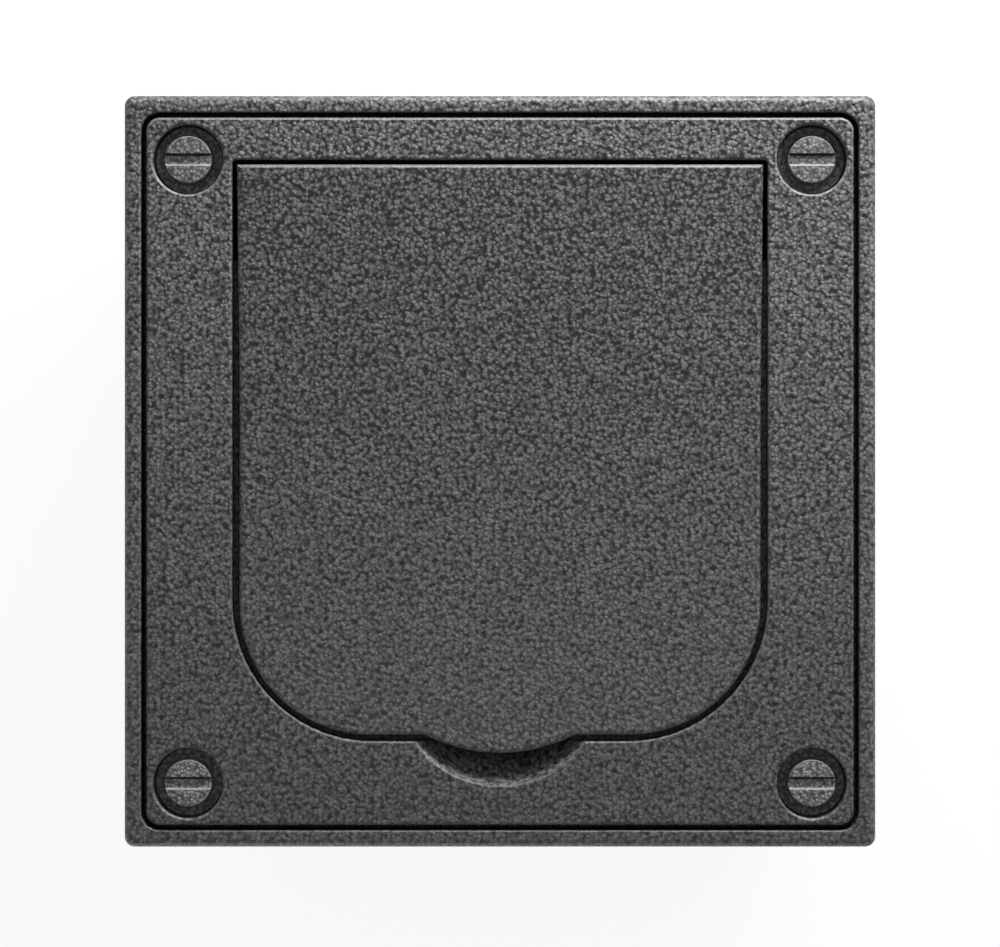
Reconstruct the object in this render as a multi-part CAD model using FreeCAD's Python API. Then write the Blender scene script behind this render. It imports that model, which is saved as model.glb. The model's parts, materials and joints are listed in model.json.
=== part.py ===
import FreeCAD, Part
import math
import os

V = FreeCAD.Vector

# All sizes are in millimetres. Depths are measured down from the visible face.
# The hinge is on the +Y side of the face and the finger tab on the -Y side.

# Cast box: a drafted pot under a square flange whose rim frames the cover plate
face_width = 110.0
box_depth = 70.0
rim_width = 2.45
rim_corner_radius = 1.5
rim_edge_round = 1.2
rim_inner_round = 0.3
flange_overhang = 3.5
flange_thickness = 3.3
pot_draft = 1.5
pot_wall = 3.0
pot_floor = 3.2
pot_corner_radius = 6.0
pot_foot_chamfer = 1.5

# Conduit entries: a round pad with a plain hole in the middle of each pot wall
entry_hole_radius = 10.25
entry_pad_radius = 14.0
entry_length = 6.5
entry_height = 25.0
entry_setback = 3.0

# Holes in the floor for fixing the box down, and the earth boss beside them
fixing_pitch = 64.0
fixing_hole_radius = 2.4
fixing_pad_radius = 6.0
fixing_pad_height = 1.5
earth_boss_y = -33.0
earth_boss_radius = 4.5
earth_boss_height = 6.0
earth_hole_depth = 7.5

# Cover plate with its opening for the lid
cover_gap = 0.78
cover_thickness = 5.0
cover_corner_radius = 2.0
cover_edge_round = 0.5
cover_gasket_thickness = 1.2
cover_gasket_inset = 0.4
opening_side_margin = 12.57
opening_rear_margin = 6.17
opening_front_margin = 12.27
opening_corner_radius = 20.5
opening_rear_radius = 0.6
opening_edge_round = 0.4

# Well under the opening: side walls, a seat round the lid, a floor and a collar for the outlet
well_wall = 2.0
well_floor = 2.0
seat_width = 2.6
seat_clearance = 0.2
collar_wall = 2.5
collar_depth = 6.0
stop_rib_width = 5.0
stop_rib_length = 3.0
stop_rib_depth = 6.0

# Finger scoop: part of a bowl in front of the lid, with its middle above the face
scoop_plan_radius = 15.3
scoop_reach = 6.6
scoop_rise = 8.0
scoop_edge_round = 0.5

# Corner screws and their washers
screw_inset = 6.12
screw_head_radius = 3.65
screw_head_height = 2.6
screw_head_chamfer = 0.35
screw_slot_width = 1.5
screw_slot_depth = 1.2
screw_shank_radius = 1.95
screw_shank_length = 16.0
screw_below_face = 0.2
screw_boss_radius = 4.0
screw_boss_depth = 24.0
screw_boss_tip = 5.0
counterbore_radius = 5.15
counterbore_chamfer = 0.3
washer_thickness = 0.8

# Lid
lid_thickness = 4.0
lid_edge_round = 0.7
lid_rear_gap = 0.65
lid_rear_side_gap = 0.65
lid_side_gap = 1.05
lid_front_gap = 0.9
lid_taper_length = 34.0
lid_taper_blend = 60.0
lid_corner_radius = 19.1
tab_radius = 24.2
tab_reach = 2.65
tab_blend_radius = 2.0
tab_thickness = 2.4
gasket_rib_wall = 1.3
gasket_rib_height = 1.3
gasket_rib_gap = 0.3
lid_gasket_overlap = 0.6

# Hinge: pin, barrel under the lid and the stop
hinge_setback = 8.0
hinge_depth = 3.0
pin_radius = 1.2
pin_blind_depth = 4.8
barrel_radius = 2.9
barrel_end_gap = 0.6
bay_clearance = 3.0
open_angle = 115.0

# Torsion springs on the pin, one each side
spring_place = 22.0
spring_wire_radius = 0.25
spring_coil_radius = 1.65
spring_full_turns = 3
spring_pitch = 0.9
spring_lid_leg = 5.5
spring_stop_leg_drop = 6.5
spring_wire_sides = 6
spring_groove_depth = 0.5

# Socket outlet
socket_rim_depth = 7.0
socket_rim_radius = 24.9
socket_rim_chamfer = 0.6
socket_deck = 2.0
socket_skirt_wall = 1.6
recess_radius = 19.6
recess_depth = 17.5
recess_wall = 1.8
recess_floor = 2.0
pin_hole_pitch = 19.0
pin_hole_radius = 2.6
earth_slot_width = 6.4
earth_slot_depth = 4.0
device_ring_width = 71.0
device_ring_corner = 5.0
device_ring_thickness = 1.2
device_ring_depth = 17.0
device_screw_pitch = 60.0
device_slot_length = 8.0
device_screw_radius = 1.5
device_screw_head_radius = 2.9
device_screw_head_height = 1.8
device_screw_length = 12.0
post_top_radius = 4.0
post_draft = 1.0
base_width = 48.0
base_corner_radius = 8.0
base_height = 27.8
contact_inner_radius = 2.5
contact_outer_radius = 3.3
contact_slit = 0.8
contact_sleeve_length = 10.5
terminal_width = 6.8
terminal_length = 8.0
terminal_height = 6.0
wire_hole_radius = 1.6
terminal_screw_radius = 1.4
terminal_screw_length = 3.5
terminal_head_radius = 2.0
terminal_head_height = 2.0
terminal_slot_width = 0.6
terminal_slot_depth = 0.8
bracket_thickness = 1.0
bracket_width = 6.0
bracket_bend_radius = 1.0
bracket_clip_depth = 13.0
earth_terminal_y = 12.0
centre_screw_radius = 1.5
centre_screw_head_radius = 2.8
centre_screw_head_height = 1.3
centre_screw_length = 11.0
device_seal_height = 3.0

# Earth terminal of the box
earth_screw_length = 7.0
earth_head_radius = 3.6
earth_head_height = 2.4
earth_washer_radius = 4.3
earth_washer_thickness = 0.9

# Blanking plugs in the left and right entries
plug_head_radius = 13.0
plug_head_thickness = 2.0
plug_seal_thickness = 1.0
plug_seal_wall = 2.2
plug_tail = 3.0
plug_bore_wall = 2.0
plug_slot_width = 2.0
plug_slot_depth = 1.0
plug_slot_length = 16.0

# Clearances
pin_press = 0.03
pin_running = 0.08
pin_end_gap = 0.4
shank_clearance = 0.05
plate_hole_clearance = 0.3
washer_clearance = 0.2
stop_clearance = 0.15
swing_clearance = 0.45
spring_clearance = 0.2
spring_touch = 0.05
spring_groove_clearance = 0.25
seal_clearance = 0.05
insert_clearance = 0.2
cup_clearance = 0.4
plug_clearance = 0.2
ring_hole_clearance = 0.8
collar_clearance = 1.1
cut_past = 1.0
same_place = 1e-4

# Places and sizes that follow from the ones above
recess_width = face_width - 2 * rim_width
recess_corner_radius = cover_corner_radius + cover_gap
cover_width = recess_width - 2 * cover_gap
cover_half = cover_width / 2
ledge_depth = cover_thickness + cover_gasket_thickness
flange_depth = ledge_depth + flange_thickness
pot_top_width = face_width - 2 * flange_overhang
pot_bottom_width = pot_top_width - 2 * pot_draft
cavity_corner_radius = pot_corner_radius - pot_wall
cavity_top_width = pot_top_width - 2 * pot_wall
cavity_bottom_width = pot_bottom_width - 2 * pot_wall
entry_face = face_width / 2 - entry_setback
entry_inner = entry_face - entry_length
screw_place = cover_half - screw_inset
shank_hole_radius = screw_shank_radius + shank_clearance
plate_hole_radius = screw_shank_radius + plate_hole_clearance
counterbore_depth = screw_below_face + screw_head_height + washer_thickness
opening_half = cover_half - opening_side_margin
opening_rear = cover_half - opening_rear_margin
opening_front = opening_front_margin - cover_half
lid_rear = opening_rear - lid_rear_gap
lid_front = opening_front + lid_front_gap
hinge_y = lid_rear - hinge_setback
hinge_z = box_depth - hinge_depth
lid_below_hinge = lid_thickness - hinge_depth
barrel_half = opening_half - lid_rear_side_gap - barrel_end_gap
well_depth = hinge_depth + math.hypot(hinge_setback, hinge_depth) + swing_clearance
well_under = well_depth + well_floor
seat_depth = lid_thickness + seat_clearance
bay_front = hinge_y - barrel_radius - bay_clearance
open_turn = math.radians(open_angle)
stop_reach = lid_below_hinge * math.sin(open_turn) - hinge_setback * math.cos(open_turn) + stop_clearance
scoop_y = opening_front - scoop_reach + scoop_plan_radius
scoop_radius = math.hypot(scoop_plan_radius, scoop_rise)
collar_radius = socket_rim_radius + collar_clearance
collar_outer = collar_radius + collar_wall
lid_gasket_inner = collar_radius - lid_gasket_overlap
lid_gasket_outer = collar_outer + lid_gasket_overlap
cup_radius = recess_radius + recess_wall
cup_floor_depth = socket_rim_depth + recess_depth
cup_under = cup_floor_depth + recess_floor
skirt_inner = socket_rim_radius - socket_skirt_wall
ring_hole_radius = cup_radius + ring_hole_clearance
ring_under = device_ring_depth + device_ring_thickness
base_under = ring_under + base_height
contact_x = pin_hole_pitch / 2
contact_top = cup_under + insert_clearance
terminal_top = contact_top + contact_sleeve_length
terminal_under = terminal_top + terminal_height
strip_under = cup_under + bracket_thickness
earth_terminal_under = strip_under + terminal_height
clip_inner = recess_radius + seal_clearance
clip_outer = clip_inner + bracket_thickness
spring_outer_x = spring_place + spring_pitch * spring_full_turns / 2

corner_signs = [(1, 1), (-1, 1), (-1, -1), (1, -1)]
screw_places = [(sx * screw_place, sy * screw_place) for sx, sy in corner_signs]
fixing_places = [(sx * fixing_pitch / 2, sy * fixing_pitch / 2) for sx, sy in corner_signs]
device_screw_places = [(-device_screw_pitch / 2, 0), (device_screw_pitch / 2, 0)]


def down(depth):
    return box_depth - depth


# Edges through (x, y, radius) corners at height z, with an arc at each corner that has a radius
def rounded_edges(corners, z, closed=True):
    points = [V(x, y, z) for x, y, radius in corners]
    count = len(points)
    entries = []
    exits = []
    arcs = []
    for i, (x, y, radius) in enumerate(corners):
        here = points[i]
        if radius == 0:
            entries.append(here)
            exits.append(here)
            arcs.append(None)
            continue
        back = (points[i - 1] - here).normalize()
        ahead = (points[(i + 1) % count] - here).normalize()
        half_angle = back.getAngle(ahead) / 2
        tangent = radius / math.tan(half_angle)
        inward = (back + ahead).normalize()
        middle = here + inward * (radius / math.sin(half_angle) - radius)
        entries.append(here + back * tangent)
        exits.append(here + ahead * tangent)
        arcs.append(Part.Arc(entries[i], middle, exits[i]).toShape())
    edges = []
    for i in range(count):
        if arcs[i]:
            edges.append(arcs[i])
        onward = entries[(i + 1) % count]
        if (closed or i < count - 1) and exits[i].distanceToPoint(onward) > same_place:
            edges.append(Part.makeLine(exits[i], onward))
    return edges


def rectangle(width, length, radius, z, x=0.0, y=0.0):
    corners = [(x + sx * width / 2, y + sy * length / 2, radius) for sx, sy in corner_signs]
    return Part.Wire(rounded_edges(corners, z))


def square(width, radius, z):
    return rectangle(width, width, radius, z)


def prism(wire, height):
    return Part.Face(wire).extrude(V(0, 0, height))


def rod(radius, z_low, z_high, x=0.0, y=0.0):
    return Part.makeCylinder(radius, z_high - z_low, V(x, y, z_low))


# Box between two corners, given as (low, high) along each axis
def block(along_x, along_y, along_z):
    low = V(along_x[0], along_y[0], along_z[0])
    size = V(along_x[1], along_y[1], along_z[1]) - low
    return Part.makeBox(size.x, size.y, size.z, low)


# Solid turned about a vertical line from (radius, z) points
def turned(profile, x=0.0, y=0.0):
    points = [V(radius, 0, z) for radius, z in profile]
    solid = Part.Face(Part.makePolygon(points + points[:1])).revolve(V(0, 0, 0), V(0, 0, 1), 360)
    return solid.translated(V(x, y, 0))


def ring(inner, outer, z_low, z_high, x=0.0, y=0.0):
    return turned([(inner, z_low), (outer, z_low), (outer, z_high), (inner, z_high)], x, y)


# Edges that lie flat at height z, within half a width of the middle
def edges_at(shape, z, half=face_width):
    found = []
    for edge in shape.Edges:
        box = edge.BoundBox
        flat = abs(box.ZMin - z) < same_place and abs(box.ZMax - z) < same_place
        reach = max(-box.XMin, box.XMax, -box.YMin, box.YMax)
        if flat and reach < half:
            found.append(edge)
    return found


def make_box_body():
    ledge = down(ledge_depth)
    under = down(flange_depth)
    rim = prism(square(face_width, rim_corner_radius, under), flange_depth)
    rim = rim.makeFillet(rim_edge_round, edges_at(rim, box_depth))
    rim = rim.cut(prism(square(recess_width, recess_corner_radius, ledge), ledge_depth))
    rim = rim.makeFillet(rim_inner_round, edges_at(rim, box_depth, recess_width / 2 + rim_inner_round))
    pot_foot_radius = pot_corner_radius - pot_foot_chamfer
    pot = Part.makeLoft([
        square(pot_bottom_width - 2 * pot_foot_chamfer, pot_foot_radius, 0),
        square(pot_bottom_width, pot_corner_radius, pot_foot_chamfer),
        square(pot_top_width, pot_corner_radius, under),
    ], True, True)
    cavity = Part.makeLoft([
        square(cavity_bottom_width, cavity_corner_radius, pot_floor),
        square(cavity_top_width, cavity_corner_radius, ledge),
    ], True, True)
    added = []
    holes = []
    for x, y in screw_places:
        tip = ledge - screw_boss_depth
        added.append(rod(screw_boss_radius, tip, ledge, x, y))
        cone_start = V(x, y, tip - screw_boss_tip)
        added.append(Part.makeCone(screw_shank_radius, screw_boss_radius, screw_boss_tip, cone_start))
        holes.append(rod(shank_hole_radius, ledge - screw_boss_depth, ledge, x, y))
    for x, y in device_screw_places:
        top = down(ring_under)
        foot_radius = post_top_radius + post_draft
        added.append(Part.makeCone(foot_radius, post_top_radius, top - pot_floor, V(x, y, pot_floor)))
        holes.append(rod(device_screw_radius + shank_clearance, top - device_screw_length, top, x, y))
    for turn in range(4):
        entry_start = V(entry_inner, 0, entry_height)
        pad = Part.makeCylinder(entry_pad_radius, entry_length, entry_start, V(1, 0, 0))
        hole = Part.makeCylinder(entry_hole_radius, entry_length, entry_start, V(1, 0, 0))
        added.append(pad.rotated(V(), V(0, 0, 1), 90 * turn))
        holes.append(hole.rotated(V(), V(0, 0, 1), 90 * turn))
    pad_top = pot_floor + fixing_pad_height
    for x, y in fixing_places:
        added.append(rod(fixing_pad_radius, pot_floor, pad_top, x, y))
        holes.append(rod(fixing_hole_radius, 0, pad_top, x, y))
    boss_top = pot_floor + earth_boss_height
    added.append(rod(earth_boss_radius, pot_floor, boss_top, 0, earth_boss_y))
    holes.append(rod(shank_hole_radius, boss_top - earth_hole_depth, boss_top, 0, earth_boss_y))
    return rim.fuse(pot).cut(cavity).multiFuse(added).cut(Part.makeCompound(holes)).removeSplitter()


def make_cover_gasket():
    low = down(ledge_depth)
    high = down(cover_thickness)
    outer = prism(square(recess_width - 2 * cover_gasket_inset, recess_corner_radius, low), high - low)
    inner = prism(square(cavity_top_width + 2 * cover_gasket_inset, cavity_corner_radius, low), high - low)
    pads = [rod(screw_boss_radius, low, high, x, y).common(outer) for x, y in screw_places]
    holes = [rod(plate_hole_radius, low, high, x, y) for x, y in screw_places]
    return outer.cut(inner).multiFuse(pads).cut(Part.makeCompound(holes)).removeSplitter()


# Outline of the lid opening, grown outwards or, below zero, shrunk
def opening_outline(grow, z):
    half = opening_half + grow
    rear = opening_rear + grow
    front = opening_front - grow
    bend = opening_corner_radius + grow
    return Part.Wire(rounded_edges([
        (half, rear, opening_rear_radius),
        (-half, rear, opening_rear_radius),
        (-half, front, bend),
        (half, front, bend),
    ], z))


# Cutter for the scoop: the bowl, rounded over into the face
def make_scoop_cutter():
    middle = box_depth + scoop_rise
    edge_radius = scoop_radius + scoop_edge_round
    edge_reach = math.sqrt(edge_radius ** 2 - (scoop_rise + scoop_edge_round) ** 2)
    edge_centre = V(edge_reach, 0, box_depth - scoop_edge_round)
    bowl_bottom = V(0, 0, middle - scoop_radius)
    bowl_lean = math.atan2(edge_reach, scoop_rise + scoop_edge_round)
    half_lean = bowl_lean / 2
    bowl_middle = V(scoop_radius * math.sin(half_lean), 0, middle - scoop_radius * math.cos(half_lean))
    bowl_rim = V(scoop_radius * math.sin(bowl_lean), 0, middle - scoop_radius * math.cos(bowl_lean))
    edge_top = V(edge_reach, 0, box_depth)
    edge_middle = edge_centre + V(
        -scoop_edge_round * math.sin(half_lean), 0, scoop_edge_round * math.cos(half_lean))
    above = box_depth + cut_past
    edges = [
        Part.Arc(bowl_bottom, bowl_middle, bowl_rim).toShape(),
        Part.Arc(bowl_rim, edge_middle, edge_top).toShape(),
        Part.makeLine(edge_top, V(edge_reach, 0, above)),
        Part.makeLine(V(edge_reach, 0, above), V(0, 0, above)),
        Part.makeLine(V(0, 0, above), bowl_bottom),
    ]
    bowl = Part.Face(Part.Wire(edges)).revolve(V(0, 0, 0), V(0, 0, 1), 360)
    return bowl.translated(V(0, scoop_y, 0))


def make_cover_plate():
    under = down(cover_thickness)
    floor = down(well_depth)
    bottom = down(well_under)
    plate = prism(square(cover_width, cover_corner_radius, under), cover_thickness)
    plate = plate.makeFillet(cover_edge_round, edges_at(plate, box_depth))
    plate = plate.cut(prism(opening_outline(0, under), cover_thickness))
    mouth_edges = edges_at(plate, box_depth, opening_rear + opening_edge_round)
    plate = plate.makeFillet(opening_edge_round, mouth_edges)

    # Well below the plate, with the seat round the lid and the open bay for the hinge
    seat = down(seat_depth)
    well = prism(opening_outline(well_wall, bottom), under - bottom)
    seat_ring = prism(opening_outline(0, under), seat - under)
    hollow = prism(opening_outline(-seat_width, floor), seat - floor)
    bay = block((-opening_half, opening_half), (bay_front, opening_rear), (floor, seat))

    # Bowl under the scoop, where it is deeper than the plate is thick
    scoop_top = box_depth + scoop_rise
    all_across = (-face_width, face_width)
    ahead = (-face_width, opening_front)
    in_front = block(all_across, ahead, (bottom, scoop_top))
    bowl = Part.makeSphere(scoop_radius + well_wall, V(0, scoop_y, scoop_top))
    below = block(all_across, ahead, (bottom, under))
    body = plate.multiFuse([well, seat_ring, bowl.common(below)])
    body = body.cut(hollow.fuse(bay)).cut(make_scoop_cutter().common(in_front))

    # Collar for the outlet, and the ribs that stop the lid and hold the spring legs
    collar = rod(collar_outer, floor, down(collar_depth))
    rib_rear = hinge_y - stop_reach
    ribs = []
    for x in (-spring_outer_x, spring_outer_x):
        across = (x - stop_rib_width / 2, x + stop_rib_width / 2)
        ribs.append(block(across, (rib_rear - stop_rib_length, rib_rear), (floor, down(stop_rib_depth))))
    body = body.multiFuse([collar] + ribs)

    holes = [rod(collar_radius, bottom, down(collar_depth))]
    for x, y in screw_places:
        holes.append(rod(counterbore_radius, down(counterbore_depth), box_depth, x, y))
        mouth_radius = counterbore_radius + counterbore_chamfer
        mouth_start = V(x, y, box_depth - counterbore_chamfer)
        holes.append(Part.makeCone(counterbore_radius, mouth_radius, counterbore_chamfer, mouth_start))
        holes.append(rod(plate_hole_radius, under, box_depth, x, y))
    pin_start = V(-opening_half - pin_blind_depth, hinge_y, hinge_z)
    bore = Part.makeCylinder(pin_radius + pin_press, cover_half - pin_start.x, pin_start, V(1, 0, 0))
    return body.cut(Part.makeCompound(holes)).cut(bore).removeSplitter()


# Slotted screw pointing down, with its head standing on z
def slotted_screw(shank, length, head, height, chamfer, slot_width, slot_depth, z, x=0.0, y=0.0):
    top = z + height
    solid = turned([
        (0, z - length),
        (shank, z - length),
        (shank, z),
        (head, z),
        (head, top - chamfer),
        (head - chamfer, top),
        (0, top),
    ], x, y)
    half = slot_width / 2
    return solid.cut(block((x - head, x + head), (y - half, y + half), (top - slot_depth, top)))


def make_cover_screws():
    seat = down(screw_below_face + screw_head_height)
    return Part.makeCompound([
        slotted_screw(screw_shank_radius, screw_shank_length, screw_head_radius, screw_head_height,
                      screw_head_chamfer, screw_slot_width, screw_slot_depth, seat, x, y)
        for x, y in screw_places
    ])


def make_cover_screw_washers():
    low = down(counterbore_depth)
    inner = screw_shank_radius + washer_clearance
    outer = counterbore_radius - washer_clearance
    top = low + washer_thickness
    return Part.makeCompound([ring(inner, outer, low, top, x, y) for x, y in screw_places])


# Outline of the lid: square at the rear, drawn in a little along the sides, round in front, with the tab
def lid_outline(z):
    rear_half = opening_half - lid_rear_side_gap
    half = opening_half - lid_side_gap
    taper_end = lid_rear - lid_taper_length
    tab_y = lid_front + tab_radius - tab_reach
    blend_y = lid_front - tab_blend_radius
    blend_x = math.sqrt((tab_radius + tab_blend_radius) ** 2 - (tab_y - blend_y) ** 2)
    lean = math.atan2(blend_x, tab_y - blend_y)
    tab_x = tab_radius * math.sin(lean)
    tab_side_y = tab_y - tab_radius * math.cos(lean)
    blend_mid_x = blend_x - tab_blend_radius * math.sin(lean / 2)
    blend_mid_y = blend_y + tab_blend_radius * math.cos(lean / 2)
    sides = rounded_edges([
        (blend_x, lid_front, 0),
        (half, lid_front, lid_corner_radius),
        (half, taper_end, lid_taper_blend),
        (rear_half, lid_rear, 0),
        (-rear_half, lid_rear, 0),
        (-half, taper_end, lid_taper_blend),
        (-half, lid_front, lid_corner_radius),
        (-blend_x, lid_front, 0),
    ], z, closed=False)
    left_side = V(-tab_x, tab_side_y, z)
    right_side = V(tab_x, tab_side_y, z)
    tab = [
        Part.Arc(V(-blend_x, lid_front, z), V(-blend_mid_x, blend_mid_y, z), left_side).toShape(),
        Part.Arc(left_side, V(0, lid_front - tab_reach, z), right_side).toShape(),
        Part.Arc(right_side, V(blend_mid_x, blend_mid_y, z), V(blend_x, lid_front, z)).toShape(),
    ]
    return Part.Wire(sides + tab)


def make_lid():
    under = down(lid_thickness)
    slab = prism(lid_outline(under), lid_thickness)
    slab = slab.makeFillet(lid_edge_round, edges_at(slab, box_depth))
    tab_space = block((-face_width, face_width), (-face_width, lid_front), (under, down(tab_thickness)))
    barrel_start = V(-barrel_half, hinge_y, hinge_z)
    barrel = Part.makeCylinder(barrel_radius, 2 * barrel_half, barrel_start, V(1, 0, 0))
    rib_low = under - gasket_rib_height
    inner_rib = lid_gasket_inner - gasket_rib_gap
    outer_rib = lid_gasket_outer + gasket_rib_gap
    body = slab.cut(tab_space).multiFuse([
        barrel,
        ring(inner_rib - gasket_rib_wall, inner_rib, rib_low, under),
        ring(outer_rib, outer_rib + gasket_rib_wall, rib_low, under),
    ])

    # Bore for the pin, pockets for the springs and grooves for their two legs
    pocket_radius = spring_coil_radius + spring_wire_radius + spring_clearance
    coil_half = spring_outer_x - spring_place
    pocket_half = coil_half + spring_pitch + spring_clearance
    lid_leg_top = hinge_z + spring_coil_radius + spring_wire_radius + spring_touch
    groove_half = spring_wire_radius + spring_groove_clearance
    leg_shift = spring_pitch / 2
    barrel_low = hinge_z - barrel_radius
    bore_start = V(-opening_half, hinge_y, hinge_z)
    cuts = [Part.makeCylinder(pin_radius + pin_running, 2 * opening_half, bore_start, V(1, 0, 0))]
    for side in (-1, 1):
        pocket_start = V(side * spring_place - pocket_half, hinge_y, hinge_z)
        cuts.append(Part.makeCylinder(pocket_radius, 2 * pocket_half, pocket_start, V(1, 0, 0)))
        pocket_x = (pocket_start.x, pocket_start.x + 2 * pocket_half)
        pocket_y = (hinge_y - barrel_radius, hinge_y + pocket_radius)
        cuts.append(block(pocket_x, pocket_y, (barrel_low, hinge_z)))
        inner_leg = side * (spring_place - coil_half - leg_shift)
        leg_x = (inner_leg - groove_half - leg_shift, inner_leg + groove_half + leg_shift)
        leg_y = (hinge_y, hinge_y + spring_lid_leg + spring_clearance)
        cuts.append(block(leg_x, leg_y, (barrel_low, lid_leg_top)))
        outer_leg = side * (spring_outer_x + leg_shift)
        stop_x = (outer_leg - groove_half - leg_shift, outer_leg + groove_half + leg_shift)
        cuts.append(block(stop_x, (hinge_y, lid_rear), (barrel_low, under + spring_groove_depth)))
    return body.cut(Part.makeCompound(cuts)).removeSplitter()


def make_lid_gasket():
    return ring(lid_gasket_inner, lid_gasket_outer, down(collar_depth), down(lid_thickness))


def make_hinge_pin():
    start = V(-opening_half - pin_blind_depth + pin_end_gap, hinge_y, hinge_z)
    return Part.makeCylinder(pin_radius, cover_half - pin_end_gap - start.x, start, V(1, 0, 0))


# Right-hand torsion spring, wound in a frame whose axes are forward, up and inward along the pin
def make_right_spring():
    tip_forward = stop_reach - spring_wire_radius - spring_touch
    tip_reach = math.hypot(tip_forward, spring_stop_leg_drop)
    start_turn = math.acos(spring_coil_radius / tip_reach) - math.atan2(spring_stop_leg_drop, tip_forward)
    sweep = math.pi / 2 - start_turn + 2 * math.pi * spring_full_turns
    coil_length = spring_pitch * sweep / (2 * math.pi)
    coil = Part.makeHelix(spring_pitch, coil_length, spring_coil_radius)
    coil = coil.rotated(V(), V(0, 0, 1), math.degrees(start_turn))
    first = coil.Edges[0]
    last = coil.Edges[-1]
    start = first.valueAt(first.FirstParameter)
    finish = last.valueAt(last.LastParameter)
    stop_leg = -first.tangentAt(first.FirstParameter)
    lid_leg = last.tangentAt(last.LastParameter)
    stop_leg_length = math.sqrt(tip_reach ** 2 - spring_coil_radius ** 2)
    stop_tip = start + stop_leg * stop_leg_length
    lid_tip = finish + lid_leg * spring_lid_leg
    legs = [Part.makeLine(stop_tip, start), Part.makeLine(finish, lid_tip)]
    path = Part.Wire(legs[:1] + coil.Edges + legs[1:])
    along = (start - stop_tip).normalize()
    across = along.cross(V(0, 0, 1)).normalize()
    upright = along.cross(across)
    rim = []
    for side in range(spring_wire_sides + 1):
        turn = 2 * math.pi * side / spring_wire_sides
        rim.append(stop_tip + (across * math.cos(turn) + upright * math.sin(turn)) * spring_wire_radius)
    wire = path.makePipeShell([Part.makePolygon(rim)], True, False)
    to_box = FreeCAD.Matrix(0, 0, -1, spring_outer_x, -1, 0, 0, hinge_y, 0, 1, 0, hinge_z)
    return wire.transformed(to_box)


def make_device_ring():
    low = down(ring_under)
    plate = prism(square(device_ring_width, device_ring_corner, low), device_ring_thickness)
    holes = [rod(ring_hole_radius, low, down(device_ring_depth))]
    slot_width = 2 * (device_screw_radius + plate_hole_clearance)
    for x, y in device_screw_places:
        slot = rectangle(slot_width, device_slot_length, slot_width / 2, low, x, y)
        holes.append(prism(slot, device_ring_thickness))
    return plate.cut(Part.makeCompound(holes))


def make_device_screws():
    seat = down(device_ring_depth)
    reach = device_screw_length - shank_clearance
    return Part.makeCompound([
        slotted_screw(device_screw_radius, reach, device_screw_head_radius, device_screw_head_height,
                      screw_head_chamfer, terminal_slot_width, terminal_slot_depth, seat, x, y)
        for x, y in device_screw_places
    ])


def make_socket_face():
    rim = down(socket_rim_depth)
    deck = rim - socket_deck
    floor = down(cup_floor_depth)
    under = down(cup_under)
    skirt = down(device_ring_depth)
    face = turned([
        (0, under),
        (cup_radius, under),
        (cup_radius, deck),
        (skirt_inner, deck),
        (skirt_inner, skirt),
        (socket_rim_radius, skirt),
        (socket_rim_radius, rim - socket_rim_chamfer),
        (socket_rim_radius - socket_rim_chamfer, rim),
        (recess_radius + socket_rim_chamfer, rim),
        (recess_radius, rim - socket_rim_chamfer),
        (recess_radius, floor),
        (0, floor),
    ])
    holes = [rod(pin_hole_radius, under, floor, x) for x in (-contact_x, contact_x)]
    holes.append(rod(centre_screw_radius + shank_clearance, under, floor))
    head = centre_screw_head_radius + shank_clearance
    holes.append(Part.makeCone(centre_screw_radius + shank_clearance, head, centre_screw_head_height,
                               V(0, 0, floor - centre_screw_head_height)))
    slot_half = earth_slot_width / 2
    slot_top = rim - earth_slot_depth
    for side in (-1, 1):
        reach = sorted((side * (recess_radius - recess_wall), side * (cup_radius + cup_clearance)))
        holes.append(block((-slot_half, slot_half), reach, (under, slot_top)))
    return face.cut(Part.makeCompound(holes))


def make_socket_base():
    top = down(ring_under)
    under = down(base_under)
    pocket = down(cup_under)
    base = prism(square(base_width, base_corner_radius, under), base_height)
    well_half_x = terminal_width / 2 + insert_clearance
    well_half_y = terminal_length / 2 + insert_clearance
    access = terminal_head_radius + cup_clearance
    wells = [rod(cup_radius + cup_clearance, pocket, top)]
    for x in (-contact_x, contact_x):
        floor = down(terminal_under)
        well_x = (x - well_half_x, x + well_half_x)
        wells.append(block(well_x, (-well_half_y, well_half_y), (floor, pocket)))
        wells.append(rod(wire_hole_radius + cup_clearance, under, floor, x))
        screw_z = floor + terminal_height / 2
        wells.append(Part.makeCylinder(access, base_width / 2, V(x, 0, screw_z), V(0, -1, 0)))
    floor = down(earth_terminal_under)
    earth_y = (earth_terminal_y - well_half_y, earth_terminal_y + well_half_y)
    strip_half = bracket_width / 2 + insert_clearance
    wells.append(block((-strip_half, strip_half), earth_y, (floor, pocket)))
    wells.append(rod(wire_hole_radius + cup_clearance, under, floor, 0, earth_terminal_y))
    screw_z = floor + terminal_height / 2
    wells.append(Part.makeCylinder(access, base_width / 2, V(0, earth_terminal_y, screw_z), V(0, 1, 0)))
    strip_y = clip_outer + insert_clearance
    wells.append(block((-strip_half, strip_half), (-strip_y, strip_y), (down(strip_under), pocket)))
    screw_end = down(cup_floor_depth + centre_screw_length)
    wells.append(rod(centre_screw_radius + shank_clearance, screw_end, pocket))
    solid = base
    for well in wells:
        solid = solid.cut(well)
    return solid.removeSplitter()


def make_centre_screw():
    top = down(cup_floor_depth)
    tip = top - centre_screw_length + shank_clearance
    screw = turned([
        (0, tip),
        (centre_screw_radius, tip),
        (centre_screw_radius, top - centre_screw_head_height),
        (centre_screw_head_radius, top),
        (0, top),
    ])
    half = terminal_slot_width / 2
    reach = centre_screw_head_radius
    return screw.cut(block((-reach, reach), (-half, half), (top - terminal_slot_depth, top)))


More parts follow.
